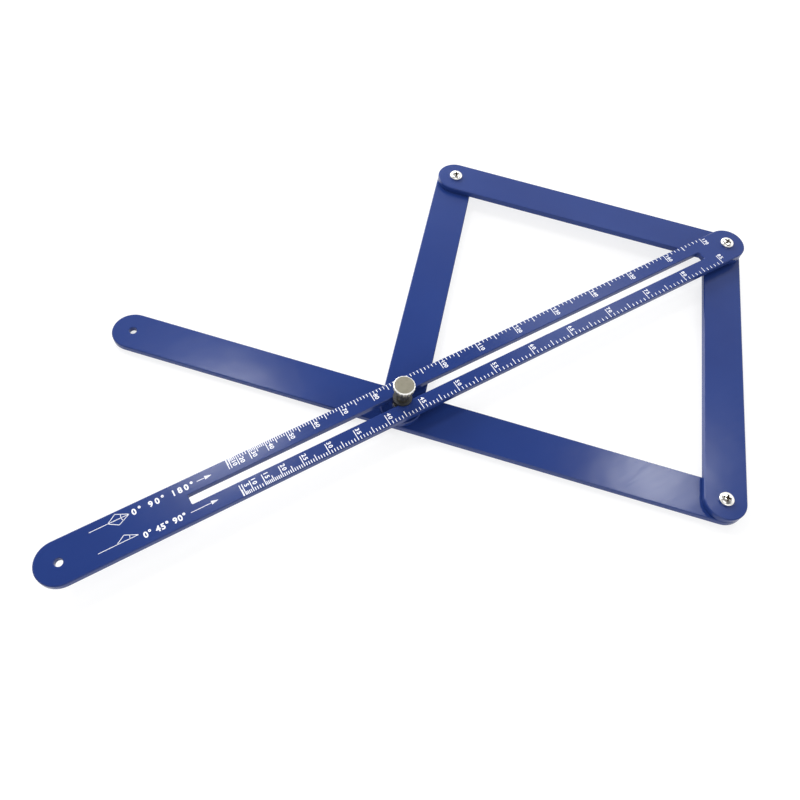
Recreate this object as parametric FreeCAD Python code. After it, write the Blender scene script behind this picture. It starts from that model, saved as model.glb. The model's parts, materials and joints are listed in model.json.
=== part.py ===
import FreeCAD, Part
import math
import os

# Angle finder with arms: four equal links hinged as a rhombus under a slotted ruler.
# One corner of the rhombus (the apex) is pinned to the ruler and the opposite corner
# slides along the ruler's slot, so the ruler always halves the angle between the links.
#
# Frame, in millimetres: +X runs along the ruler from its hanging hole to the apex,
# +Y points to the side with the upper link, +Z is up. The origin lies under the middle
# of the ruler, level with the lowest fastener heads.

Vector = FreeCAD.Vector
UP = Vector(0, 0, 1)

# ---- Bars ----
BAR_WIDTH = 22.0
BAR_THICKNESS = 3.2
BAR_EDGE_CHAMFER = 0.45     # on the face side only; the underside is the mould's parting plane
LINK_LENGTH = 170.0         # pivot to pivot, the same on all four sides
RULER_SPAN = 407.0          # apex pivot to hanging hole
ARM_SPAN = 320.5            # arm pivot to hanging hole
REST_HALF_ANGLE = 47.3      # degrees between the ruler and each link at rest

# ---- Slot in the ruler ----
SLOT_WIDTH = 5.3
SLOT_START = 20.8           # apex pivot to the near end of the slot
SLOT_OVERRUN = 6.0          # slot left beyond the clamp when the linkage is closed flat
SLOT_CORNER_RADIUS = 0.8
SLOT_EDGE_CHAMFER = 0.35    # on the face side only, as on the bar's outline

# ---- Hanging holes ----
HANG_HOLE_DIAMETER = 3.9
HANG_HOLE_CHAMFER = 0.4

# ---- Washers between the bars ----
WASHER_THICKNESS = 0.3
WASHER_DIAMETER = 11.0
WASHER_CLEARANCE = 0.1      # radial, washer bore to the pin through it

# ---- Pivots: a pan-head screw in a flanged barrel nut ----
BARREL_DIAMETER = 5.4
BARREL_RUNNING_CLEARANCE = 0.06     # radial, barrel to the holes in the bars
BARREL_FLANGE_DIAMETER = 9.0
BARREL_FLANGE_THICKNESS = 1.5
BARREL_FLANGE_CHAMFER = 0.4
BARREL_END_GAP = 0.3        # barrel stops this far below the top bar's face
BARREL_FLOOR = 0.6          # metal left between the barrel's bore and its flange
SCREW_DIAMETER = 4.0
SCREW_THREAD_CLEARANCE = 0.05       # radial, screw to barrel bore
SCREW_TIP_GAP = 0.5
SCREW_HEAD_DIAMETER = 7.8
SCREW_HEAD_HEIGHT = 2.2
SCREW_HEAD_RIM = 0.9        # straight side of the pan head below its crown
SCREW_CROWN_FLAT = 2.2      # radius of the flat on top of the crown

# ---- Clamp: carriage bolt, spacer, washer and thumb knob ----
BOLT_DIAMETER = 5.0
BOLT_HEAD_DIAMETER = 11.0
BOLT_HEAD_THICKNESS = 1.5
BOLT_HEAD_CHAMFER = 0.5
BOLT_NECK_LENGTH = 2.4
BOLT_NECK_CLEARANCE = 0.1   # per side, square neck to the square hole in the long arm
BOLT_PIVOT_CLEARANCE = 0.25         # radial, bolt to the inner link's hole
BOLT_KNOB_ENGAGEMENT = 7.5  # length of bolt inside the knob
SPACER_DIAMETER = 10.0
SPACER_CLEARANCE = 0.15     # radial, spacer bore to bolt
CLAMP_WASHER_DIAMETER = 10.0
CLAMP_WASHER_THICKNESS = 1.0
CLAMP_WASHER_CLEARANCE = 0.15
KNOB_DIAMETER = 11.4
KNOB_HEIGHT = 11.6
KNOB_HEAD_HEIGHT = 2.6
KNOB_SKIRT_DIAMETER = 9.2   # widest part of the tapered skirt, just under the head
KNOB_SKIRT_HEIGHT = 5.2
KNOB_NECK_DIAMETER = 6.8
KNOB_CHAMFER = 0.6
KNOB_KNURL_DEPTH = 0.3
KNOB_KNURL_COUNT = 20
KNOB_BORE_CLEARANCE = 0.06
KNOB_BORE_TIP_GAP = 0.6

# ---- Levels of the bars, counted up from the lowest ----
LEVEL_PITCH = BAR_THICKNESS + WASHER_THICKNESS
FOOT = max(BARREL_FLANGE_THICKNESS, BOLT_HEAD_THICKNESS)
LONG_ARM_LEVEL = 0
SIDE_LINK_LEVEL = 1
INNER_LINK_LEVEL = 1
UPPER_LINK_LEVEL = 2
RULER_LEVEL = 3


def underside(level):
    """Height of the lower face of a bar on this level."""
    return FOOT + level * LEVEL_PITCH


def topside(level):
    """Height of the upper face of a bar on this level."""
    return underside(level) + BAR_THICKNESS


# ---- Pivot positions at rest ----
REST = math.radians(REST_HALF_ANGLE)
APEX = Vector(RULER_SPAN / 2, 0, 0)
LINK_REACH = LINK_LENGTH * math.cos(REST)
LINK_SPREAD = LINK_LENGTH * math.sin(REST)
UPPER_CORNER = APEX + Vector(-LINK_REACH, LINK_SPREAD, 0)
ARM_CORNER = APEX + Vector(-LINK_REACH, -LINK_SPREAD, 0)
CLAMP = APEX + Vector(-2 * LINK_REACH, 0, 0)

PIVOT_HOLE_RADIUS = BARREL_DIAMETER / 2 + BARREL_RUNNING_CLEARANCE
CLAMP_PIVOT_HOLE_RADIUS = BOLT_DIAMETER / 2 + BOLT_PIVOT_CLEARANCE
NECK_SIDE = BOLT_DIAMETER
SLOT_LENGTH = 2 * LINK_LENGTH + SLOT_OVERRUN - SLOT_START
CUT_MARGIN = 1.0            # how far a cutting tool runs past the face it cuts


def cylinder(radius, low, high, centre=Vector(0, 0, 0)):
    """Upright cylinder between two heights."""
    foot = Vector(centre.x, centre.y, low)
    return Part.makeCylinder(radius, high - low, foot, UP)


def square_prism(side, low, high):
    """Upright square prism centred on the Z axis."""
    corner = Vector(-side / 2, -side / 2, low)
    return Part.makeBox(side, side, high - low, corner)


def turned(profile):
    """Solid of revolution about Z from (radius, height) points."""
    points = [Vector(radius, 0, height) for radius, height in profile]
    outline = Part.makePolygon(points + points[:1])
    return Part.Face(outline).revolve(Vector(0, 0, 0), UP, 360)


def placed(shape, pivot, height=0.0, degrees=0.0):
    """Copy of a shape turned about Z and moved so that its own origin is at the pivot."""
    moved = shape.copy()
    moved.rotate(Vector(0, 0, 0), UP, degrees)
    moved.translate(Vector(pivot.x, pivot.y, height))
    return moved


def flat_edges(shape, height, inside=None):
    """Edges that lie level at this height, optionally only those inside a box."""
    chosen = []
    for edge in shape.Edges:
        box = edge.BoundBox
        level = abs(box.ZMin - height) < 1e-6 and abs(box.ZMax - height) < 1e-6
        if level and (inside is None or inside.isInside(box)):
            chosen.append(edge)
    return chosen


def stadium(span):
    """Flat bar with full-round ends, its end centres at x = 0 and x = span."""
    half = BAR_WIDTH / 2
    start_low = Vector(0, -half, 0)
    end_low = Vector(span, -half, 0)
    end_high = Vector(span, half, 0)
    start_high = Vector(0, half, 0)
    edges = [
        Part.makeLine(start_low, end_low),
        Part.Arc(end_low, Vector(span + half, 0, 0), end_high).toShape(),
        Part.makeLine(end_high, start_high),
        Part.Arc(start_high, Vector(-half, 0, 0), start_low).toShape(),
    ]
    blank = Part.Face(Part.Wire(edges)).extrude(UP * BAR_THICKNESS)
    return blank.makeChamfer(BAR_EDGE_CHAMFER, flat_edges(blank, BAR_THICKNESS))


def drilled(bar, position, radius):
    """Bar with a plain round hole through it at x = position."""
    tool = cylinder(radius, -CUT_MARGIN, BAR_THICKNESS + CUT_MARGIN, Vector(position, 0, 0))
    return bar.cut(tool)


def hanging_hole(bar, position):
    """Bar with a hanging hole at x = position, chamfered on both faces."""
    radius = HANG_HOLE_DIAMETER / 2
    flare = radius + HANG_HOLE_CHAMFER
    top = BAR_THICKNESS
    profile = [
        (0, -CUT_MARGIN),
        (flare + CUT_MARGIN, -CUT_MARGIN),
        (radius, HANG_HOLE_CHAMFER),
        (radius, top - HANG_HOLE_CHAMFER),
        (flare + CUT_MARGIN, top + CUT_MARGIN),
        (0, top + CUT_MARGIN),
    ]
    tool = turned(profile)
    tool.translate(Vector(position, 0, 0))
    return bar.cut(tool)


def slotted(bar):
    """Ruler blank with its long slot, chamfered on the scale side."""
    start = Vector(SLOT_START, -SLOT_WIDTH / 2, -CUT_MARGIN)
    tool = Part.makeBox(SLOT_LENGTH, SLOT_WIDTH, BAR_THICKNESS + 2 * CUT_MARGIN, start)
    uprights = [edge for edge in tool.Edges if edge.BoundBox.ZLength > BAR_THICKNESS]
    tool = tool.makeFillet(SLOT_CORNER_RADIUS, uprights)
    cut = bar.cut(tool)
    reach = FreeCAD.BoundBox(
        SLOT_START - CUT_MARGIN, -SLOT_WIDTH, 0,
        SLOT_START + SLOT_LENGTH + CUT_MARGIN, SLOT_WIDTH, BAR_THICKNESS + CUT_MARGIN,
    )
    return cut.makeChamfer(SLOT_EDGE_CHAMFER, flat_edges(cut, BAR_THICKNESS, reach))


def make_ruler():
    """Slotted ruler, drawn from the apex pivot and turned to run towards -X."""
    bar = slotted(stadium(RULER_SPAN))
    bar = drilled(bar, 0, PIVOT_HOLE_RADIUS)
    bar = hanging_hole(bar, RULER_SPAN)
    return placed(bar, APEX, underside(RULER_LEVEL), 180)


def make_long_arm():
    """Arm from its corner pivot to its free end. A square hole where it passes under the
    clamp stops the bolt turning."""
    bar = drilled(stadium(ARM_SPAN), 0, PIVOT_HOLE_RADIUS)
    side = NECK_SIDE + 2 * BOLT_NECK_CLEARANCE
    hole = square_prism(side, -CUT_MARGIN, BAR_THICKNESS + CUT_MARGIN)
    hole.translate(Vector(LINK_LENGTH, 0, 0))
    bar = hanging_hole(bar.cut(hole), ARM_SPAN)
    return placed(bar, ARM_CORNER, underside(LONG_ARM_LEVEL), 180 - REST_HALF_ANGLE)


def make_pivot_link(pivot, level, degrees):
    """Short link with a pivot hole at each end."""
    bar = drilled(stadium(LINK_LENGTH), 0, PIVOT_HOLE_RADIUS)
    bar = drilled(bar, LINK_LENGTH, PIVOT_HOLE_RADIUS)
    return placed(bar, pivot, underside(level), degrees)


def make_inner_link():
    """Short link whose far end turns on the clamp bolt."""
    bar = drilled(stadium(LINK_LENGTH), 0, PIVOT_HOLE_RADIUS)
    bar = drilled(bar, LINK_LENGTH, CLAMP_PIVOT_HOLE_RADIUS)
    return placed(bar, UPPER_CORNER, underside(INNER_LINK_LEVEL), 180 + REST_HALF_ANGLE)


def make_pivot_washer(pivot, level_below):
    """Thin washer that keeps two bars apart at a pivot."""
    low = topside(level_below)
    high = low + WASHER_THICKNESS
    bore = BARREL_DIAMETER / 2 + WASHER_CLEARANCE
    ring = cylinder(WASHER_DIAMETER / 2, low, high)
    ring = ring.cut(cylinder(bore, low - CUT_MARGIN, high + CUT_MARGIN))
    return placed(ring, pivot)


def make_barrel(pivot, low_level, high_level):
    """Flanged barrel nut that the stacked bars turn on."""
    seat = underside(low_level)
    mouth = topside(high_level) - BARREL_END_GAP
    foot = seat - BARREL_FLANGE_THICKNESS
    flange = BARREL_FLANGE_DIAMETER / 2
    barrel = BARREL_DIAMETER / 2
    bore = SCREW_DIAMETER / 2 + SCREW_THREAD_CLEARANCE
    profile = [
        (0, foot),
        (flange - BARREL_FLANGE_CHAMFER, foot),
        (flange, foot + BARREL_FLANGE_CHAMFER),
        (flange, seat),
        (barrel, seat),
        (barrel, mouth),
        (bore, mouth),
        (bore, seat + BARREL_FLOOR),
        (0, seat + BARREL_FLOOR),
    ]
    return placed(turned(profile), pivot)


def make_screw(pivot, low_level, high_level):
    """Pan-head screw that closes the barrel nut from above."""
    seat = topside(high_level)
    tip = underside(low_level) + BARREL_FLOOR + SCREW_TIP_GAP
    top = seat + SCREW_HEAD_HEIGHT
    rim = seat + SCREW_HEAD_RIM
    head = SCREW_HEAD_DIAMETER / 2
    shank = SCREW_DIAMETER / 2
    shoulder_radius = (head * 2 + SCREW_CROWN_FLAT) / 3
    shoulder = rim + (top - rim) * 2 / 3
    profile = [
        (0, tip),
        (shank, tip),
        (shank, seat),
        (head, seat),
        (head, rim),
        (shoulder_radius, shoulder),
        (SCREW_CROWN_FLAT, top),
        (0, top),
    ]
    return placed(turned(profile), pivot)


def make_clamp_bolt():
    """Carriage bolt: low round head, square neck in the long arm, round shank above."""
    seat = underside(LONG_ARM_LEVEL)
    foot = seat - BOLT_HEAD_THICKNESS
    head = BOLT_HEAD_DIAMETER / 2
    tip = topside(RULER_LEVEL) + CLAMP_WASHER_THICKNESS + BOLT_KNOB_ENGAGEMENT
    profile = [
        (0, foot),
        (head - BOLT_HEAD_CHAMFER, foot),
        (head, foot + BOLT_HEAD_CHAMFER),
        (head, seat),
        (BOLT_DIAMETER / 2, seat),
        (BOLT_DIAMETER / 2, tip),
        (0, tip),
    ]
    neck = square_prism(NECK_SIDE, seat - BOLT_HEAD_THICKNESS / 2, seat + BOLT_NECK_LENGTH)
    neck.rotate(Vector(0, 0, 0), UP, -REST_HALF_ANGLE)
    return placed(turned(profile).fuse(neck).removeSplitter(), CLAMP)


def make_clamp_ring(diameter, clearance, low, high):
    """Washer or spacer threaded on the clamp bolt."""
    ring = cylinder(diameter / 2, low, high)
    bore = BOLT_DIAMETER / 2 + clearance
    ring = ring.cut(cylinder(bore, low - CUT_MARGIN, high + CUT_MARGIN))
    return placed(ring, CLAMP)


def knurled_disc(low, high):
    """Disc with upright V-shaped knurls around its rim."""
    crest = KNOB_DIAMETER / 2
    root = crest - KNOB_KNURL_DEPTH
    points = []
    for step in range(2 * KNOB_KNURL_COUNT):
        angle = math.pi * step / KNOB_KNURL_COUNT
        radius = crest if step % 2 == 0 else root
        points.append(Vector(radius * math.cos(angle), radius * math.sin(angle), low))
    outline = Part.makePolygon(points + points[:1])
    return Part.Face(outline).extrude(UP * (high - low))


def make_thumb_knob():
    """Thumb knob: thin knurled head on a tapered skirt, with a blind bore for the bolt."""
    foot = topside(RULER_LEVEL) + CLAMP_WASHER_THICKNESS
    top = foot + KNOB_HEIGHT
    shoulder = top - KNOB_HEAD_HEIGHT
    crest = KNOB_DIAMETER / 2
    neck = KNOB_NECK_DIAMETER / 2
    skirt = KNOB_SKIRT_DIAMETER / 2
    crown = turned([
        (0, shoulder),
        (crest, shoulder),
        (crest, top - KNOB_CHAMFER),
        (crest - KNOB_CHAMFER, top),
        (0, top),
    ])
    stem = turned([
        (0, foot),
        (neck, foot),
        (neck, shoulder - KNOB_SKIRT_HEIGHT),
        (skirt, shoulder),
        (0, shoulder),
    ])
    body = crown.common(knurled_disc(shoulder, top)).fuse(stem)
    bore_radius = BOLT_DIAMETER / 2 + KNOB_BORE_CLEARANCE
    bore_top = foot + BOLT_KNOB_ENGAGEMENT + KNOB_BORE_TIP_GAP
    body = body.cut(cylinder(bore_radius, foot - CUT_MARGIN, bore_top)).removeSplitter()
    return placed(body, CLAMP)


def build():
    """All nodes of the tool by name, at rest."""
    upper_direction = 180 - REST_HALF_ANGLE
    side_direction = 180 + REST_HALF_ANGLE
    spacer_low = topside(INNER_LINK_LEVEL)
    spacer_high = underside(RULER_LEVEL)
    clamp_seat = topside(RULER_LEVEL)
    nodes = {
        "ruler": make_ruler(),
        "long_arm": make_long_arm(),
        "upper_link": make_pivot_link(APEX, UPPER_LINK_LEVEL, upper_direction),
        "side_link": make_pivot_link(APEX, SIDE_LINK_LEVEL, side_direction),
        "inner_link": make_inner_link(),
        "clamp_bolt": make_clamp_bolt(),
        "clamp_pivot_washer": make_clamp_ring(
            WASHER_DIAMETER, WASHER_CLEARANCE, topside(LONG_ARM_LEVEL), underside(INNER_LINK_LEVEL)),
        "clamp_spacer": make_clamp_ring(
            SPACER_DIAMETER, SPACER_CLEARANCE, spacer_low, spacer_high),
        "clamp_washer": make_clamp_ring(
            CLAMP_WASHER_DIAMETER, CLAMP_WASHER_CLEARANCE,
            clamp_seat, clamp_seat + CLAMP_WASHER_THICKNESS),
        "thumb_knob": make_thumb_knob(),
        "apex_lower_washer": make_pivot_washer(APEX, SIDE_LINK_LEVEL),
        "apex_upper_washer": make_pivot_washer(APEX, UPPER_LINK_LEVEL),
        "corner_washer": make_pivot_washer(UPPER_CORNER, INNER_LINK_LEVEL),
        "arm_washer": make_pivot_washer(ARM_CORNER, LONG_ARM_LEVEL),
    }
    pivots = {
        "apex": (APEX, SIDE_LINK_LEVEL, RULER_LEVEL),
        "corner": (UPPER_CORNER, INNER_LINK_LEVEL, UPPER_LINK_LEVEL),
        "arm": (ARM_CORNER, LONG_ARM_LEVEL, SIDE_LINK_LEVEL),
    }
    for name, (pivot, low_level, high_level) in pivots.items():
        nodes[name + "_barrel"] = make_barrel(pivot, low_level, high_level)
        nodes[name + "_screw"] = make_screw(pivot, low_level, high_level)
    return nodes


def main():
    os.makedirs("parts", exist_ok=True)
    for name, shape in build().items():
        shape.exportStep(os.path.join("parts", name + ".step"))


main()
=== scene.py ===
# %% [markdown]
# # An angle finder with arms
# Five moulded plastic bars make this tool: a slotted ruler, a long arm and three short
# links. They are hinged as a rhombus, so the ruler always halves the angle between the
# links, and a thumb knob locks it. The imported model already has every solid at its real
# size, so this notebook gives each one its finish, replaces the plain screws by real
# cross-recess ones and prints the angle scale on the ruler.

# %% Load the frame
import json
import math

import bpy
import numpy as np
from mathutils import Matrix, Vector


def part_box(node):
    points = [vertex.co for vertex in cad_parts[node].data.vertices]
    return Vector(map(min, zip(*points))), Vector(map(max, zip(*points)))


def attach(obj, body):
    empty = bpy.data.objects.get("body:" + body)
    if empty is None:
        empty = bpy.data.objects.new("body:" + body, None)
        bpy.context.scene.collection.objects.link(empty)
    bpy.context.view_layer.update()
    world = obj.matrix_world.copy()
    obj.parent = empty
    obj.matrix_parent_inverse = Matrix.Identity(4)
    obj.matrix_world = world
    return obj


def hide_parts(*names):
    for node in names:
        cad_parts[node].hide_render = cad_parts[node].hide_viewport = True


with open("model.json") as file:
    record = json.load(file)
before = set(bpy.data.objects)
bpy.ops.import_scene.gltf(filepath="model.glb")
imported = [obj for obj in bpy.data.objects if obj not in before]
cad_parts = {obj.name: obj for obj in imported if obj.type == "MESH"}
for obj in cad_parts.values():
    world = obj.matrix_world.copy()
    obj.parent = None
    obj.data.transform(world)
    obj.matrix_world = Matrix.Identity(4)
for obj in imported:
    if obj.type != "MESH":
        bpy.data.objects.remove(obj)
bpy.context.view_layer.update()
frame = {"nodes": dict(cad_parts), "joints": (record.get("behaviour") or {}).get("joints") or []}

MM = 0.001
nodes = frame["nodes"]
joints = {joint["name"]: joint for joint in frame["joints"]}

# %% [markdown]
# ## Sizes read from the frame
# The printed marks and the screws sit on the solids, so their places come from the joints
# and from the boxes of the nodes, and not from numbers written a second time.

# %% Sizes read from the frame
ruler_low, ruler_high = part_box("ruler")
RULER_TOP = ruler_high.z
BAR_WIDTH = ruler_high.y - ruler_low.y
APEX = Vector(joints["fold"]["pos_m"])
ARM_CORNER = Vector(joints["arm_fold"]["pos_m"])
UPPER_CORNER = Vector(joints["corner_fold"]["pos_m"])
CLAMP = Vector(joints["knob_turn"]["pos_m"])
LINK_LENGTH = (APEX - ARM_CORNER).xy.length
print("link length in mm:", round(LINK_LENGTH / MM, 2))


# %% [markdown]
# ## Small helpers for materials
# Colours are written as the hex values a painter would mix on screen. Shaders work in
# linear light, so one function converts them. A second one adds a node, sets its options
# and joins its inputs, which keeps each material a short list of steps. A third marks off
# a zone round an upright axis, where a turned shape gets a painted highlight or painted shade.

# %% Material helpers
def linear(hex_colour):
    """Linear RGBA of an sRGB hex colour, by the sRGB decoding curve."""
    channels = [int(hex_colour[i:i + 2], 16) / 255 for i in (1, 3, 5)]
    decoded = [c / 12.92 if c <= 0.04045 else ((c + 0.055) / 1.055) ** 2.4 for c in channels]
    return (*decoded, 1.0)


def add_node(material, kind, inputs=None, **settings):
    """Adds one shader node. Inputs are values or the output sockets of other nodes."""
    tree = material.node_tree
    node = tree.nodes.new(kind)
    for name, value in settings.items():
        setattr(node, name, value)
    for name, value in (inputs or {}).items():
        socket = node.inputs[name]
        if isinstance(value, bpy.types.NodeSocket):
            tree.links.new(value, socket)
        else:
            socket.default_value = value
    return node


def beyond(material, value, limit):
    """1 where a value is above a limit, else 0."""
    return add_node(material, "ShaderNodeMath", {0: value, 1: limit},
                    operation="GREATER_THAN").outputs["Value"]


def axis_mask(material, place, axis, radius, height):
    """Two masks around an upright axis: outside a radius, and above a height."""
    flat = add_node(material, "ShaderNodeMapping", {
        "Vector": place, "Location": (-axis.x, -axis.y, 0.0), "Scale": (1.0, 1.0, 0.0)})
    distance = add_node(material, "ShaderNodeVectorMath", {
        0: flat.outputs["Vector"]}, operation="LENGTH").outputs["Value"]
    level = add_node(material, "ShaderNodeSeparateXYZ", {"Vector": place}).outputs["Z"]
    return beyond(material, distance, radius), beyond(material, level, height)


def surface_material(name, build):
    """Node material whose surface is the shader socket that build(material, place) returns.
    place is the Object coordinate, in metres on the part."""
    material = bpy.data.materials.new(name)
    material.use_nodes = True
    material.node_tree.nodes.clear()
    place = add_node(material, "ShaderNodeTexCoord").outputs["Object"]
    add_node(material, "ShaderNodeOutputMaterial", {"Surface": build(material, place)})
    return material


def finish_nodes(names, material):
    """Puts one material on every slot of the named CAD nodes."""
    for name in names:
        slots = nodes[name].data.materials
        slots.clear()
        slots.append(material)


# %% [markdown]
# ## Navy ABS, injection moulded
# The bars are ABS plastic from a satin-polished mould. To the eye that is a deep blue body
# under a soft gloss. The cooling skin leaves an even faint waviness, some 12 mm from crest
# to crest, which bends long reflections, and the mould's stoning leaves a fine grain that
# breaks up a highlight. The grain is drawn 0.5 mm wide, coarser than the real one, so that
# it shows. Handling has left a few hairlines, drawn as noise stretched along the bars.

# %% Navy ABS
WAVE_LENGTH, FLOW_LENGTH, GRAIN_WIDTH = 12 * MM, 45 * MM, 0.5 * MM
HAIRLINE_SPACING, HAIRLINE_STRETCH = 0.5 * MM, 0.05


def moulded_navy(material, place):
    """Satin navy ABS: flow tint, shrink waves, mould grain and faint hairlines."""
    flow = add_node(material, "ShaderNodeTexNoise", {
        "Vector": place, "Scale": 1 / FLOW_LENGTH, "Detail": 2.0, "Roughness": 0.5})
    waves = add_node(material, "ShaderNodeTexNoise", {
        "Vector": place, "Scale": 1 / WAVE_LENGTH, "Detail": 1.0, "Roughness": 0.4})
    grain = add_node(material, "ShaderNodeTexNoise", {
        "Vector": place, "Scale": 1 / GRAIN_WIDTH, "Detail": 1.0})
    stretched = add_node(material, "ShaderNodeMapping", {
        "Vector": place, "Scale": (HAIRLINE_STRETCH, 1.0, 1.0)})
    hairlines = add_node(material, "ShaderNodeTexNoise", {
        "Vector": stretched.outputs["Vector"], "Scale": 1 / HAIRLINE_SPACING, "Detail": 2.0})
    tint = add_node(material, "ShaderNodeMixRGB", {
        "Fac": flow.outputs["Fac"], "Color1": linear("#1D2F67"), "Color2": linear("#233975")})
    haze = add_node(material, "ShaderNodeMapRange", {
        "Value": hairlines.outputs["Fac"], "From Min": 0.42, "From Max": 0.70,
        "To Min": 0.19, "To Max": 0.225})
    swell = add_node(material, "ShaderNodeBump", {
        "Height": waves.outputs["Fac"], "Strength": 0.35, "Distance": 0.2 * MM})
    skin = add_node(material, "ShaderNodeBump", {
        "Height": grain.outputs["Fac"], "Strength": 0.25, "Distance": 0.02 * MM,
        "Normal": swell.outputs["Normal"]})
    return add_node(material, "ShaderNodeBsdfPrincipled", {
        "Base Color": tint.outputs["Color"], "Roughness": haze.outputs["Result"],
        "IOR": 1.53, "Specular IOR Level": 0.22,
        "Normal": skin.outputs["Normal"]}).outputs["BSDF"]


BARS = ("ruler", "long_arm", "upper_link", "side_link", "inner_link")
finish_nodes(BARS, surface_material("navy_abs", moulded_navy))
print("navy ABS on", len(BARS), "bars")


# %% [markdown]
# ## Plated steel
# Screws, barrel nuts, washers and the clamp bolt are steel with bright zinc plating. It is
# a metal with a slightly cloudy mirror. The plating's crystals are far too small to see,
# so they only spread the highlights, by a cloud some 2.5 mm wide.

# %% Plated steel
PLATING_CLOUD = 2.5 * MM


def plated_steel(material, place, recess_shade=None):
    """Bright plated steel with a fine cloudy grain, painted dark as shade where recess_shade is
    1.
    """
    cloud = add_node(material, "ShaderNodeTexNoise", {
        "Vector": place, "Scale": 1 / PLATING_CLOUD, "Detail": 3.0})
    gloss = add_node(material, "ShaderNodeMapRange", {
        "Value": cloud.outputs["Fac"], "To Min": 0.20, "To Max": 0.28})
    zinc = linear("#E9E6DF")
    if recess_shade is not None:
        # Painted shade: the cross recess is painted a dark brown-grey.
        zinc = add_node(material, "ShaderNodeMixRGB", {
            "Fac": recess_shade, "Color1": zinc, "Color2": linear("#4A4138")}).outputs["Color"]
    return add_node(material, "ShaderNodeBsdfPrincipled", {
        "Base Color": zinc, "Metallic": 1.0,
        "Roughness": gloss.outputs["Result"]}).outputs["BSDF"]


STEEL_PARTS = [name for name in nodes if name not in BARS + ("thumb_knob", "clamp_washer")]
finish_nodes(STEEL_PARTS, surface_material("plated_steel", plated_steel))
print("plated steel on", len(STEEL_PARTS), "small parts")


# %% [markdown]
# ## Turned aluminium
# The knob is turned from bar on a lathe and left with a dull oxide. The facing cut leaves
# rings around the axis, which are drawn 0.35 mm apart, coarser than the real feed marks,
# so that they show. Fingers have stained the oxide in soft patches. The chamfer around the
# crown is painted near white, a painted highlight of the rim, and given a satin roughness.

# %% Turned aluminium
RING_PITCH, STAIN_WIDTH = 0.35 * MM, 2.5 * MM
CROWN_TOP = max(vertex.co.z for vertex in nodes["thumb_knob"].data.vertices)
HIGHLIGHT_FROM, HIGHLIGHT_DEPTH = 5.05 * MM, 0.75 * MM     # radius and depth of the painted highlight on the chamfer
OXIDE_ROUGHNESS, CHAMFER_ROUGHNESS = 0.36, 0.55
WAVE_TEXTURE_SHARE = math.pi / 10   # a wave texture of scale 1 has rings this far apart


def turned_aluminium(material, place):
    """Oxidised metal with turned rings about the knob's axis and a painted highlight on the top
    chamfer.
    """
    centred = add_node(material, "ShaderNodeMapping", {
        "Vector": place, "Location": (-CLAMP.x, -CLAMP.y, 0.0)})
    rings = add_node(material, "ShaderNodeTexWave", {
        "Vector": centred.outputs["Vector"], "Scale": WAVE_TEXTURE_SHARE / RING_PITCH,
        "Distortion": 0.4}, wave_type="RINGS", rings_direction="Z")
    stain = add_node(material, "ShaderNodeTexNoise", {
        "Vector": place, "Scale": 1 / STAIN_WIDTH, "Detail": 3.0})
    oxide = add_node(material, "ShaderNodeMixRGB", {
        "Fac": stain.outputs["Fac"], "Color1": linear("#847F70"), "Color2": linear("#9F9B8B")})
    outside, high = axis_mask(material, place, CLAMP, HIGHLIGHT_FROM, CROWN_TOP - HIGHLIGHT_DEPTH)
    painted_highlight = add_node(material, "ShaderNodeMath", {
        0: outside, 1: high}, operation="MULTIPLY")
    # Painted highlight: the top chamfer is painted near white.
    metal = add_node(material, "ShaderNodeMixRGB", {
        "Fac": painted_highlight.outputs["Value"], "Color1": oxide.outputs["Color"],
        "Color2": linear("#F7F6F2")})
    satin = add_node(material, "ShaderNodeMapRange", {
        "Value": painted_highlight.outputs["Value"],
        "To Min": OXIDE_ROUGHNESS, "To Max": CHAMFER_ROUGHNESS})
    cuts = add_node(material, "ShaderNodeBump", {
        "Height": rings.outputs["Fac"], "Strength": 0.3, "Distance": 0.02 * MM})
    return add_node(material, "ShaderNodeBsdfPrincipled", {
        "Base Color": metal.outputs["Color"], "Metallic": 1.0,
        "Roughness": satin.outputs["Result"],
        "Normal": cuts.outputs["Normal"]}).outputs["BSDF"]


finish_nodes(["thumb_knob"], surface_material("turned_aluminium", turned_aluminium))


# %% [markdown]
# ## Black nylon
# The washer under the knob is moulded nylon, which slides on the ruler without marking it.
# It is a matt, slightly waxy black with a faint mottle.

# %% Black nylon
def black_nylon(material, place):
    """Matt black nylon with a faint mottle."""
    mottle = add_node(material, "ShaderNodeTexNoise", {
        "Vector": place, "Scale": 1 / PLATING_CLOUD, "Detail": 2.0})
    tone = add_node(material, "ShaderNodeMixRGB", {
        "Fac": mottle.outputs["Fac"], "Color1": linear("#141417"), "Color2": linear("#202024")})
    return add_node(material, "ShaderNodeBsdfPrincipled", {
        "Base Color": tone.outputs["Color"], "Roughness": 0.55, "IOR": 1.53}).outputs["BSDF"]


finish_nodes(["clamp_washer"], surface_material("black_nylon", black_nylon))


# %% [markdown]
# ## White ink
# The marks are pad printed: a thin opaque layer of matt white ink that stands a hair
# proud of the plastic. The pad lays it a little unevenly, so its white varies slightly.

# %% White ink
INK_PATCH = 1.2 * MM


def white_ink(material, place):
    """Matt white printing ink, slightly uneven."""
    patch = add_node(material, "ShaderNodeTexNoise", {
        "Vector": place, "Scale": 1 / INK_PATCH, "Detail": 2.0})
    tone = add_node(material, "ShaderNodeMixRGB", {
        "Fac": patch.outputs["Fac"], "Color1": linear("#D6D7E0"), "Color2": linear("#F4F4F6")})
    return add_node(material, "ShaderNodeBsdfPrincipled", {
        "Base Color": tone.outputs["Color"], "Roughness": 0.5, "IOR": 1.5}).outputs["BSDF"]


ink = surface_material("white_pad_print", white_ink)


# %% [markdown]
# ## Meshes from arrays
# Every new piece is a mesh made of numpy arrays. One helper turns arrays of points and
# faces into an object, lets it ride on its body and gives it its material.

# %% Mesh helper
SHARP_ANGLE = math.radians(35)


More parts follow.
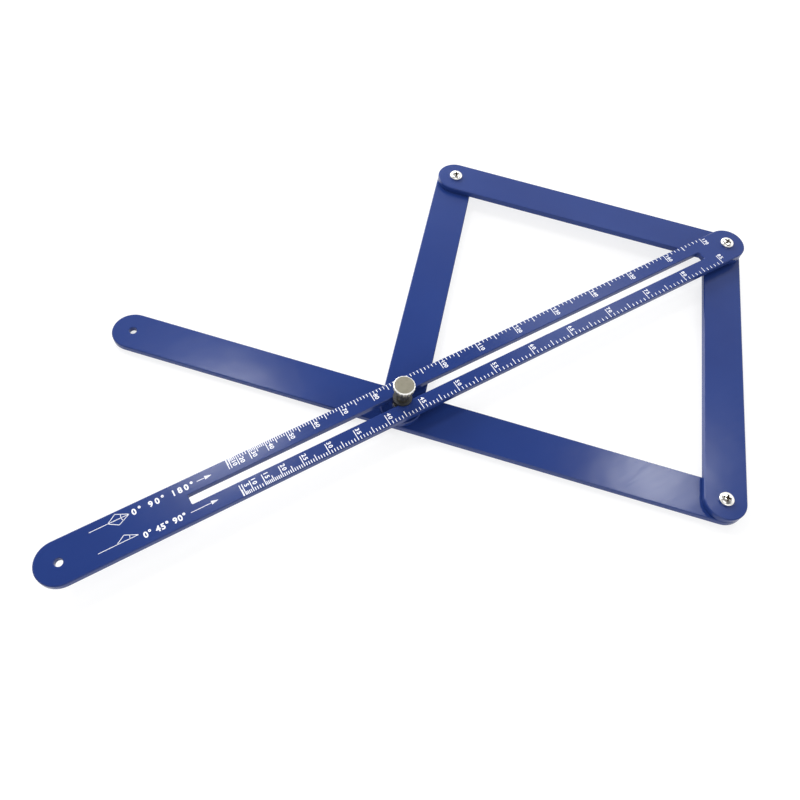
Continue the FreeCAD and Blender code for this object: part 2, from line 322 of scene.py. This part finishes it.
def add_piece(name, points, faces, material, body, smooth=False):
    """Object from an N x 3 array of points and lists of point numbers, riding on a body."""
    mesh = bpy.data.meshes.new(name)
    mesh.from_pydata(np.asarray(points).tolist(), [], faces)
    mesh.materials.append(material)
    mesh.polygons.foreach_set("use_smooth", np.full(len(mesh.polygons), smooth))
    if smooth:
        mesh.set_sharp_from_angle(angle=SHARP_ANGLE)
    mesh.update()
    piece = bpy.data.objects.new(name, mesh)
    bpy.context.scene.collection.objects.link(piece)
    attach(piece, body)
    print(name, "faces:", len(mesh.polygons))
    return piece


# %% [markdown]
# ## Pan-head screws with a cross recess
# Each pivot is closed by an M4 pan-head screw. Its head could be a turned profile with a
# cross cut out, but a cut leaves slivers. Here the top is one sheet: a square grid of
# parameters pressed into a disc, so that its lines run parallel near the middle, just
# where the wings of the cross need straight walls. The height of each point is the
# crown's curve less the depth of the cross. Rings of points then carry the sheet's edge
# down the rim, in under the head and down the shank. The floor of the cross is painted
# dark, as painted shade.

# %% Pan-head screws
HALF_ROWS = np.array([0, 0.05, 0.09, 0.111, 0.141, 0.16, 0.20, 0.26, 0.33, 0.40, 0.47, 0.55,
                      0.60, 0.67, 0.75, 0.82, 0.88, 0.93, 0.965, 0.99, 1.0])
WING_HALF, WING_WALL = 0.141, 0.030     # as shares of the head's radius
WING_REACH, WING_END = 0.55, 0.08
RECESS_DEPTH, SHALLOWER = 1.3 * MM, 0.75
RIM_HEIGHT, SHANK_RADIUS, EDGE_ROUND = 0.8 * MM, 2.0 * MM, 0.12 * MM
CROWN_INNER, CROWN_OUTER = 2.6, 1 / 1.8
SHADE_DEPTH = 0.42 * MM   # the painted shade lies this far below the crown and deeper


def recess_depth(along, across):
    """One wing pair: full depth inside its walls, less towards its ends, none outside."""
    inside = np.clip((WING_HALF - np.abs(across)) / WING_WALL, 0, 1)
    before_end = np.clip((WING_REACH - np.abs(along)) / WING_END, 0, 1)
    return RECESS_DEPTH * (1 - SHALLOWER * np.abs(along) / WING_REACH) * inside * before_end


def pan_screw(pivot, seat, low, high, turn):
    """Points and faces of one screw.
    Disc of the grid: x = a sqrt(1 - b b / 2), y = b sqrt(1 - a a / 2), for a and b from
    -1 to 1. Crown: height falls from 1 to 0 as (1 - r^2.6)^(1 / 1.8)."""
    radius = (high.x - low.x) / 2
    rows = np.concatenate([-HALF_ROWS[:0:-1], HALF_ROWS])
    count = len(rows)
    a, b = np.meshgrid(rows, rows, indexing="ij")
    x, y = a * np.sqrt(1 - b * b / 2), b * np.sqrt(1 - a * a / 2)
    share = np.clip(np.hypot(x, y), 0, 1)
    rim = seat + RIM_HEIGHT
    z = rim + (high.z - rim) * (1 - share ** CROWN_INNER) ** CROWN_OUTER
    z -= np.maximum(recess_depth(a, b), recess_depth(b, a))
    sheet = np.stack([x * radius, y * radius, z], axis=-1).reshape(-1, 3)
    number = np.arange(count * count).reshape(count, count)
    quads = np.stack([number[:-1, :-1], number[1:, :-1], number[1:, 1:], number[:-1, 1:]],
                     axis=-1)
    loop = np.concatenate([number[:-1, 0], number[-1, :-1], number[:0:-1, -1], number[0, :0:-1]])
    outward = sheet[loop, :2] / radius
    profile = [(radius, seat + EDGE_ROUND), (radius - EDGE_ROUND, seat), (SHANK_RADIUS, seat),
               (SHANK_RADIUS, low.z + EDGE_ROUND), (SHANK_RADIUS - EDGE_ROUND, low.z)]
    rings = [np.column_stack([outward * r, np.full(len(loop), height)]) for r, height in profile]
    starts = count * count + np.arange(len(profile)) * len(loop)
    ring_numbers = [loop] + [start + np.arange(len(loop)) for start in starts]
    walls = [np.column_stack([below, np.roll(below, -1), np.roll(above, -1), above])
             for above, below in zip(ring_numbers, ring_numbers[1:])]
    points = np.concatenate([sheet] + rings) @ np.array(Matrix.Rotation(turn, 3, "Z")).T
    faces = np.concatenate([quads.reshape(-1, 4)] + walls).tolist()
    return points + (pivot.x, pivot.y, 0), faces + [ring_numbers[-1][::-1].tolist()]


def oiled_cross(pivot, radius, crown):
    """Plated steel with painted shade inside the cross, below the crown."""
    def build(material, place):
        outside, high = axis_mask(material, place, pivot, radius, crown)
        # The painted shade covers the cross inside the wings' reach and below the crown.
        unshaded = add_node(material, "ShaderNodeMath", {
            0: outside, 1: high}, operation="MAXIMUM").outputs["Value"]
        recess_shade = add_node(material, "ShaderNodeMath", {
            0: 1.0, 1: unshaded}, operation="SUBTRACT").outputs["Value"]
        return plated_steel(material, place, recess_shade)
    return build


SCREWS = {"apex": (APEX, "ruler", 20), "corner": (UPPER_CORNER, "upper_link", 62),
          "arm": (ARM_CORNER, "side_link", 38)}
for place_name, (pivot, bar, degrees) in SCREWS.items():
    node = place_name + "_screw"
    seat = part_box(bar)[1].z
    low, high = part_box(node)
    crown = high.z - SHADE_DEPTH
    reach = WING_REACH * (high.x - low.x) / 2
    screw = add_piece(place_name + "_pan_screw",
                      *pan_screw(pivot, seat, low, high, math.radians(degrees)),
                      surface_material(place_name + "_steel", oiled_cross(pivot, reach, crown)),
                      bar, smooth=True)
    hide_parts(node)


# %% [markdown]
# ## Ink blocks
# Every printed mark is a thin block of ink that starts just inside the plastic. A block is
# an outline given twice, low and high, with walls between, so all the marks of one kind
# come from a single array of outlines.

# %% Ink blocks
INK_THICKNESS = 0.03 * MM
EDGE_CHAMFER = 0.45 * MM
FACE_EDGE = BAR_WIDTH / 2 - EDGE_CHAMFER


def ink_prisms(outlines):
    """Closed prisms from an array of outlines (count x corners x 2), given anticlockwise.
    They lie on the face, and beyond its edge they follow the chamfer down at 45 degrees."""
    outlines = np.asarray(outlines, float)
    count, corners, _ = outlines.shape
    surface = RULER_TOP - np.maximum(np.abs(outlines[..., 1]) - FACE_EDGE, 0)
    low = np.dstack([outlines, surface - INK_THICKNESS])
    high = np.dstack([outlines, surface + INK_THICKNESS])
    points = np.concatenate([low, high], axis=1).reshape(-1, 3)
    ring = np.arange(corners)
    after = (ring + 1) % corners
    sides = np.stack([ring, after, after + corners, ring + corners], axis=1)
    starts = np.arange(count)[:, None] * 2 * corners
    lids = np.concatenate([starts + ring[::-1], starts + ring + corners]).tolist()
    walls = (starts[:, :, None] + sides[None]).reshape(-1, 4).tolist()
    return points, lids + walls


# %% [markdown]
# ## The angle scale
# With links of length L, the clamp stands 2 L cos(A / 2) from the apex when the links
# include the angle A. The mark for A is printed ahead of the clamp by a fixed lead, where
# the links' edges frame it. The upper edge gives the included angle and the lower edge
# half of it. The upper marks run out over the chamfer. Towards 0 the marks crowd together,
# so there only every second or fifth one is printed.

# %% Scale marks
SCALE_LEAD = 16.6 * MM
MARK_WIDTH = 0.40 * MM
LAST_ANGLE, CROWDED_BELOW, VERY_CROWDED_BELOW = 170, 30, 12
UPPER_ROW = {"outer": FACE_EDGE, 10: 5.4 * MM, 5: 7.6 * MM, 1: 9.1 * MM}
UPPER_OVERRUN = {"outer": FACE_EDGE + 0.4 * MM, 10: FACE_EDGE, 5: FACE_EDGE, 1: FACE_EDGE}
LOWER_ROW = {"outer": -10.5 * MM, 10: -4.4 * MM, 5: -7.1 * MM, 1: -8.7 * MM}


def scale_place(included):
    """Place of an included angle in degrees along the ruler."""
    half = np.radians(np.asarray(included, float) / 2)
    return APEX.x - 2 * LINK_LENGTH * np.cos(half) + SCALE_LEAD


def scale_marks(row):
    """Outlines of one row of marks, each from its outer end to its inner end."""
    degrees = np.arange(LAST_ANGLE + 1)
    step = np.select([degrees < VERY_CROWDED_BELOW, degrees < CROWDED_BELOW], [5, 2], 1)
    degrees = degrees[(degrees % step == 0) | (degrees % 10 == 0)]
    inner = np.select([degrees % 10 == 0, degrees % 5 == 0], [row[10], row[5]], row[1])
    outer = np.full(len(degrees), row["outer"])
    low, high = np.minimum(outer, inner), np.maximum(outer, inner)
    left = scale_place(degrees) - MARK_WIDTH / 2
    right = scale_place(degrees) + MARK_WIDTH / 2
    corners = ((left, low), (right, low), (right, high), (left, high))
    return np.stack([np.stack(corner, axis=1) for corner in corners], axis=1)


marks = np.concatenate([scale_marks(row) for row in (UPPER_ROW, UPPER_OVERRUN, LOWER_ROW)])
add_piece("scale_marks", *ink_prisms(marks), ink, "ruler")


# %% [markdown]
# ## Numerals
# Blender's own letter shapes serve for the numerals. Each numeral is a text turned a
# quarter turn, so that it reads from the hanging end, made a mesh and then put in place.
# All the numerals of the scale are joined into one mesh.

# %% Numerals
CAP_SHARE = 0.7     # height of a numeral as a share of the letters' nominal size


def letter_mesh(text, height, turn=0.0, weight=0.0, spacing=1.0):
    """Points and faces of a text centred on the origin, with this cap height, as thin ink."""
    curve = bpy.data.curves.new("letters", "FONT")
    curve.body = text
    curve.size = height / CAP_SHARE
    curve.extrude = INK_THICKNESS
    curve.offset = weight
    curve.space_character = spacing
    curve.resolution_u = 3
    holder = bpy.data.objects.new("letters", curve)
    bpy.context.scene.collection.objects.link(holder)
    bpy.context.view_layer.update()
    ready = holder.evaluated_get(bpy.context.evaluated_depsgraph_get())
    mesh = bpy.data.meshes.new_from_object(ready)
    points = np.empty(len(mesh.vertices) * 3)
    mesh.vertices.foreach_get("co", points)
    points = points.reshape(-1, 3)
    faces = [list(polygon.vertices) for polygon in mesh.polygons]
    bpy.data.objects.remove(holder)
    bpy.data.curves.remove(curve)
    bpy.data.meshes.remove(mesh)
    middle = (points.min(axis=0) + points.max(axis=0)) / 2
    return (points - middle) @ np.array(Matrix.Rotation(turn, 3, "Z")).T, faces


def joined(parts):
    """One list of points and faces from several."""
    points, faces, start = [], [], 0
    for part_points, part_faces in parts:
        points.append(part_points)
        faces += [[corner + start for corner in face] for face in part_faces]
        start += len(part_points)
    return np.concatenate(points), faces


NUMERAL_HEIGHT, NUMERAL_WEIGHT = 2.15 * MM, 0.075 * MM
NUMERAL_GAP = 0.95 * MM
UPPER_NUMERALS, UPPER_SPACING = 7.2 * MM, 1.08
LOWER_NUMERALS, LOWER_SPACING = -5.9 * MM, 1.3
FIRST_NUMERAL = 10
READ_FROM_END = -math.pi / 2


def scale_numerals():
    """Numerals right of each long mark: the included angle above, half of it below."""
    parts = []
    for included in range(FIRST_NUMERAL, LAST_ANGLE + 1, 10):
        place = float(scale_place(included)) + NUMERAL_GAP + NUMERAL_HEIGHT / 2
        for value, y, spacing in ((included, UPPER_NUMERALS, UPPER_SPACING),
                                  (included // 2, LOWER_NUMERALS, LOWER_SPACING)):
            points, faces = letter_mesh(str(value), NUMERAL_HEIGHT, READ_FROM_END,
                                        NUMERAL_WEIGHT, spacing)
            parts.append((points + (place, y, RULER_TOP), faces))
    return joined(parts)


add_piece("scale_numerals", *scale_numerals(), ink, "ruler")


# %% [markdown]
# ## Signs at the hanging end
# A small drawing of the folded links tells the user what each row gives: a whole kite with
# its corner angle for the upper row, and half a kite for the lower one. Each is a set of
# strokes of one width, and a stroke is a thin quadrilateral around a line. The range of
# each row stands beside its sign, with an arrow towards the scale.

# %% Signs at the hanging end
STROKE_WIDTH = 0.28 * MM
# Places along the ruler and across it, in mm. An arrow is its start, its tip and its height.
TAIL, LEFT_CORNER, MIDDLE, RIGHT_CORNER = -187.5, -178.9, -174.6, -168.9
KITE_HALF_HEIGHT = 2.9
ARC_RADIUS, ARC_POINTS = 3.8, 7
UPPER_SIGN_Y, LOWER_SIGN_Y = 6.6, -4.75
ARROW_HEAD_LENGTH, ARROW_HEAD_HALF = 3.4, 0.95
UPPER_ARROW, LOWER_ARROW = (-136.0, -128.6, 6.9), (-144.6, -131.0, -6.3)


def stroke(start, end):
    """Quadrilateral of the stroke's width round the line from start to end, in mm."""
    start, end = np.array(start, float), np.array(end, float)
    along = (end - start) / np.linalg.norm(end - start)
    side = np.array([-along[1], along[0]]) * STROKE_WIDTH / MM / 2
    return [start - side, end - side, end + side, start + side]


def chain(points):
    """Strokes from each point to the next."""
    return [stroke(p, q) for p, q in zip(points, points[1:])]


def corner_arc(y, highest, lowest):
    """Arc of a circle round the kite's right corner, between two angles from the line back."""
    angle = np.radians(np.linspace(highest, lowest, ARC_POINTS))
    return np.column_stack([RIGHT_CORNER - ARC_RADIUS * np.cos(angle),
                            y + ARC_RADIUS * np.sin(angle)])


def signs():
    """All the strokes of both signs and the shafts of both arrows."""
    slope = math.degrees(math.atan2(KITE_HALF_HEIGHT, RIGHT_CORNER - MIDDLE))
    left, right = (LEFT_CORNER, UPPER_SIGN_Y), (RIGHT_CORNER, UPPER_SIGN_Y)
    top = (MIDDLE, UPPER_SIGN_Y + KITE_HALF_HEIGHT)
    bottom = (MIDDLE, UPPER_SIGN_Y - KITE_HALF_HEIGHT)
    half_left, half_right = (LEFT_CORNER, LOWER_SIGN_Y), (RIGHT_CORNER, LOWER_SIGN_Y)
    half_top = (MIDDLE, LOWER_SIGN_Y + KITE_HALF_HEIGHT)
    strokes = chain([left, top, right, bottom, left])
    strokes += chain([(TAIL, UPPER_SIGN_Y), right])
    strokes += chain([(TAIL, LOWER_SIGN_Y), half_right])
    strokes += chain([half_left, half_top, half_right])
    strokes += chain(corner_arc(UPPER_SIGN_Y, slope, -slope))
    strokes += chain(corner_arc(LOWER_SIGN_Y, slope, 0))
    strokes += [stroke((start, y), (end - ARROW_HEAD_LENGTH / 2, y))
                for start, end, y in (UPPER_ARROW, LOWER_ARROW)]
    return np.array(strokes) * MM


def arrow_heads():
    """A triangle at the right end of each arrow."""
    heads = [[(end - ARROW_HEAD_LENGTH, y - ARROW_HEAD_HALF), (end, y),
              (end - ARROW_HEAD_LENGTH, y + ARROW_HEAD_HALF)]
             for _, end, y in (UPPER_ARROW, LOWER_ARROW)]
    return np.array(heads) * MM


add_piece("end_signs", *joined([ink_prisms(signs()), ink_prisms(arrow_heads())]), ink, "ruler")


# %% [markdown]
# ## Ranges beside the signs
# Beside each sign stand the two ends and the middle of its row, so the user sees at once
# that the lower row gives half of the upper one.

# %% Ranges beside the signs
RANGE_HEIGHT, RANGE_WEIGHT = 2.9 * MM, 0.13 * MM
# Text, room along the ruler in mm, height across it in mm and letter spacing.
RANGES = (("0° 90° 180°", (-168.1, -137.4), 6.6, 1.5),
          ("0° 45° 90°", (-168.1, -146.0), -6.3, 1.15))


def range_numerals():
    """The range of each row, in the middle of its room between the sign and the arrow."""
    parts = []
    for text, (left, right), y, spacing in RANGES:
        points, faces = letter_mesh(text, RANGE_HEIGHT, 0.0, RANGE_WEIGHT, spacing)
        width = np.ptp(points[:, 0])
        print(text, "is", round(width / MM, 1), "mm wide in a room of", round(right - left, 1))
        parts.append((points + ((left + right) / 2 * MM, y * MM, RULER_TOP), faces))
    return joined(parts)


add_piece("range_numerals", *range_numerals(), ink, "ruler")


# %% [markdown]
# ## Camera
# The camera looks down on the tool from the side of the arm's corner, turned a little
# about its own axis. Its place is given by two angles and a distance from a point close
# to the clamp, the way a copy stand is set up.

# %% Camera
CAMERA_AZIMUTH, CAMERA_ELEVATION, CAMERA_ROLL = -38.483, 58.694, 8.659
CAMERA_DISTANCE = 395.57 * MM
CAMERA_TARGET = Vector((CLAMP.x - 1.69 * MM, -0.39 * MM, RULER_TOP))
CAMERA_LENS, SENSOR_WIDTH = 34.920, 36.0
CLIP_START, CLIP_END = 10 * MM, 20.0


def add_camera():
    """Camera at an azimuth and elevation round the target, rolled about its axis."""
    azimuth, elevation = math.radians(CAMERA_AZIMUTH), math.radians(CAMERA_ELEVATION)
    level = math.cos(elevation)
    back = Vector((math.sin(azimuth) * level, -math.cos(azimuth) * level, math.sin(elevation)))
    right = Vector((0, 0, 1)).cross(back).normalized()
    up = back.cross(right)
    roll = Matrix.Rotation(math.radians(CAMERA_ROLL), 3, "Z")
    basis = Matrix((right, up, back)).transposed() @ roll
    place = CAMERA_TARGET + back * CAMERA_DISTANCE
    data = bpy.data.cameras.new("camera")
    data.lens, data.sensor_width = CAMERA_LENS, SENSOR_WIDTH
    data.clip_start, data.clip_end = CLIP_START, CLIP_END
    camera = bpy.data.objects.new("camera", data)
    camera.matrix_world = Matrix.Translation(place) @ basis.to_4x4()
    bpy.context.scene.collection.objects.link(camera)
    bpy.context.scene.camera = camera


add_camera()


# %% [markdown]
# ## Floor and light
# The tool lies on a back-lit milky sheet, like a light table, inside a light tent. The
# sheet's own glow keeps its shadows pale. The tent is brightest near the horizon beyond
# the tool, paler on the near side and dim overhead, which leaves the middle of the glossy
# bars deep and dark while their chamfers and the screws catch its glow.
#
# The key lamp is a wide, low panel beyond the tool, and a fill lamp hangs over the camera.
# Three small lamps beyond the tool lay a sheen on both halves of the long arm and on the
# ruler.
# A long, narrow one behind the camera picks out the knob's rim and the near edges.

# %% Floor and light
FLOOR_HALF, FLOOR_GLOW = 8.0, 0.76
FLOOR_CLOUDS = 6.0                  # per metre
HORIZON_GLOW, OVERHEAD_GLOW, NEAR_SHARE = 1.45, 0.15, 0.58
GLOW_SIDE = (0.62, 0.78, 0.0)       # the tent glows beyond the tool
GLOW_UPTO, DIM_FROM = 0.60, 0.84    # sines of the elevations between which the tent dims
NEAR_FACING, FAR_FACING = -0.5, 0.4     # cosines to the glowing side, pale to bright
TENT_WHITE = (0.97, 0.98, 1.0, 1.0)

# Name, place and aim in metres, width and depth of the panel in metres, radiance.
LAMPS = (
    ("key_lamp", (0.05, 0.95, 0.40), (0.0, 0.05, 0.0), 1.40, 0.50, 4.8),
    ("top_fill", (-0.25, -0.25, 0.95), (0.0, 0.0, 0.0), 0.55, 0.55, 2.0),
    ("left_sheen", (-0.04, 0.38, 0.62), (-0.06, 0.06, 0.0), 0.14, 0.12, 24.0),
    ("right_sheen", (0.460, 0.018, 0.632), (0.064, -0.098, 0.0), 0.10, 0.08, 30.0),
    ("ruler_sheen", (0.461, 0.265, 0.544), (0.105, 0.0, 0.0), 0.20, 0.14, 3.5),
    ("near_glint", (-0.20, -0.70, 0.42), (0.0, 0.0, 0.0), 1.10, 0.10, 2.2))


def white_sheet(material, place):
    """Milky sheet with a faint cloud, lit from behind so that it stays pale in shadow."""
    cloud = add_node(material, "ShaderNodeTexNoise", {"Vector": place, "Scale": FLOOR_CLOUDS})
    tone = add_node(material, "ShaderNodeMixRGB", {
        "Fac": cloud.outputs["Fac"], "Color1": linear("#8A8A8A"), "Color2": linear("#909090")})
    return add_node(material, "ShaderNodeBsdfPrincipled", {
        "Base Color": tone.outputs["Color"], "Roughness": 0.9, "Specular IOR Level": 0.1,
        "Emission Color": (1.0, 1.0, 1.0, 1.0),
        "Emission Strength": FLOOR_GLOW}).outputs["BSDF"]


def add_floor():
    """Wide pale floor, level with the lowest fastener heads, which rest on it."""
    mesh = bpy.data.meshes.new("floor")
    signs_of_corners = ((-1, -1), (1, -1), (1, 1), (-1, 1))
    corners = [(x * FLOOR_HALF, y * FLOOR_HALF, 0) for x, y in signs_of_corners]
    mesh.from_pydata(corners, [], [(0, 1, 2, 3)])
    mesh.materials.append(surface_material("white_sheet", white_sheet))
    floor = bpy.data.objects.new("floor", mesh)
    bpy.context.scene.collection.objects.link(floor)


def add_panel(name, place, aim, width, depth, radiance):
    """Rectangular area light at a place, aimed at a point. Its power follows from the
    brightness that its face shows: power = pi x area x radiance."""
    data = bpy.data.lights.new(name, "AREA")
    data.shape, data.size, data.size_y = "RECTANGLE", width, depth
    data.energy = math.pi * width * depth * radiance
    panel = bpy.data.objects.new(name, data)
    toward = (Vector(aim) - Vector(place)).to_track_quat("-Z", "Y")
    panel.matrix_world = Matrix.Translation(place) @ toward.to_matrix().to_4x4()
    bpy.context.scene.collection.objects.link(panel)


def set_world():
    """Light tent: bright near the horizon beyond the tool, paler nearby, dim overhead."""
    world = bpy.data.worlds.new("light_tent")
    world.use_nodes = True
    world.node_tree.nodes.clear()
    direction = add_node(world, "ShaderNodeTexCoord").outputs["Generated"]
    height = add_node(world, "ShaderNodeSeparateXYZ", {"Vector": direction}).outputs["Z"]
    glow = add_node(world, "ShaderNodeMapRange", {
        "Value": height, "From Min": GLOW_UPTO, "From Max": DIM_FROM,
        "To Min": HORIZON_GLOW, "To Max": OVERHEAD_GLOW}, interpolation_type="SMOOTHSTEP")
    facing = add_node(world, "ShaderNodeVectorMath", {0: direction, 1: GLOW_SIDE},
                      operation="DOT_PRODUCT").outputs["Value"]
    share = add_node(world, "ShaderNodeMapRange", {
        "Value": facing, "From Min": NEAR_FACING, "From Max": FAR_FACING,
        "To Min": NEAR_SHARE, "To Max": 1.0}, interpolation_type="SMOOTHSTEP")
    strength = add_node(world, "ShaderNodeMath", {
        0: glow.outputs["Result"], 1: share.outputs["Result"]}, operation="MULTIPLY")
    background = add_node(world, "ShaderNodeBackground", {
        "Color": TENT_WHITE, "Strength": strength.outputs["Value"]})
    add_node(world, "ShaderNodeOutputWorld", {"Surface": background.outputs["Background"]})
    bpy.context.scene.world = world


add_floor()
set_world()
for lamp in LAMPS:
    add_panel(*lamp)
# Plain sRGB, so that white stays white.
bpy.context.scene.view_settings.view_transform = "Standard"
